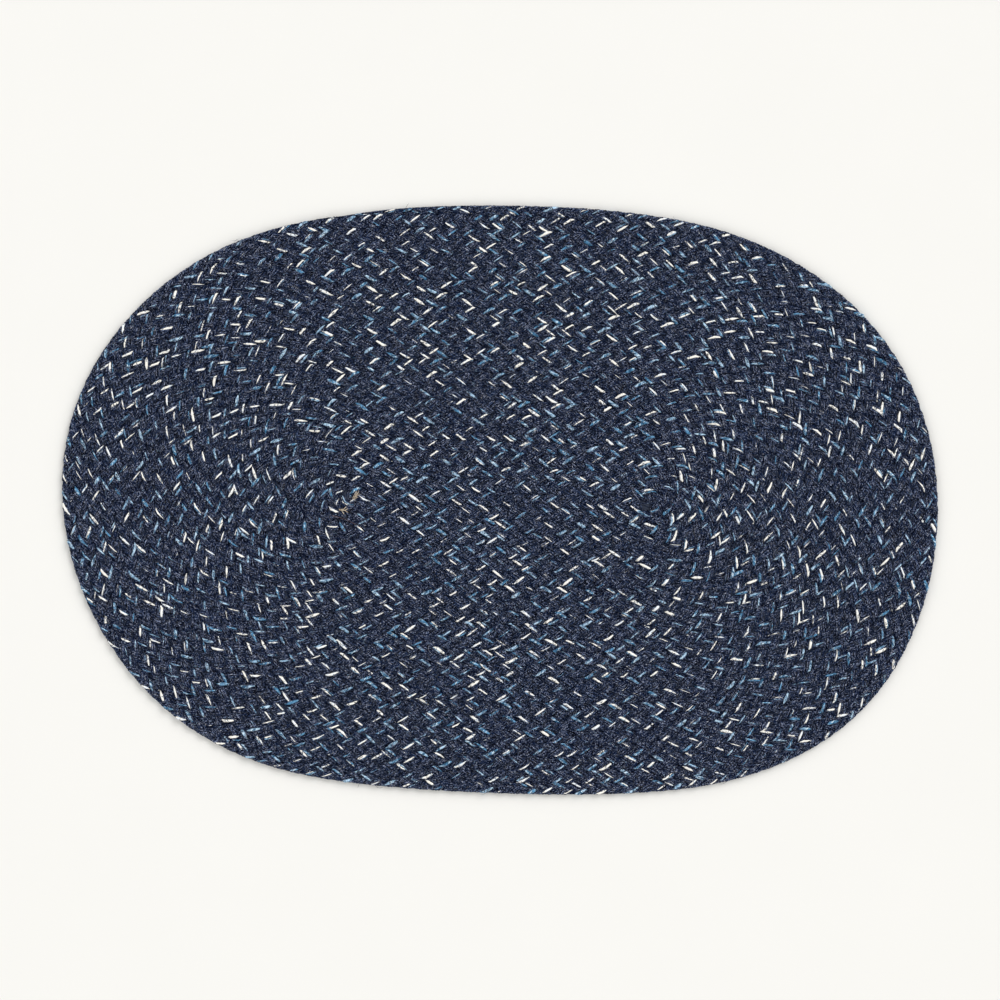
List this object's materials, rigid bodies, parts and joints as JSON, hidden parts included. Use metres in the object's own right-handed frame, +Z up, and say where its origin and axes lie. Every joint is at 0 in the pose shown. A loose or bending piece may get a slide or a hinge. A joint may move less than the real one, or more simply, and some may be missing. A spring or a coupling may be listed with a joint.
{
  "type": "jute doormat",
  "caption": "Oval doormat of one flat jute plait coiled round a short straight core and laced edge to edge, in flecked navy blue.",
  "frame": {"origin": "middle of the mat's length and width, on its flat underside", "axes": "+X along the mat's length, +Y across its width, +Z up out of its ridged upper face"},
  "size_m": [0.8994, 0.6078, 0.008],
  "materials": {
    "jute": "matte plaited yarn, navy with cream and light blue flecks"
  },
  "bodies": {
    "root": {"plaited_mat": "jute"}
  },
  "joints": []
}
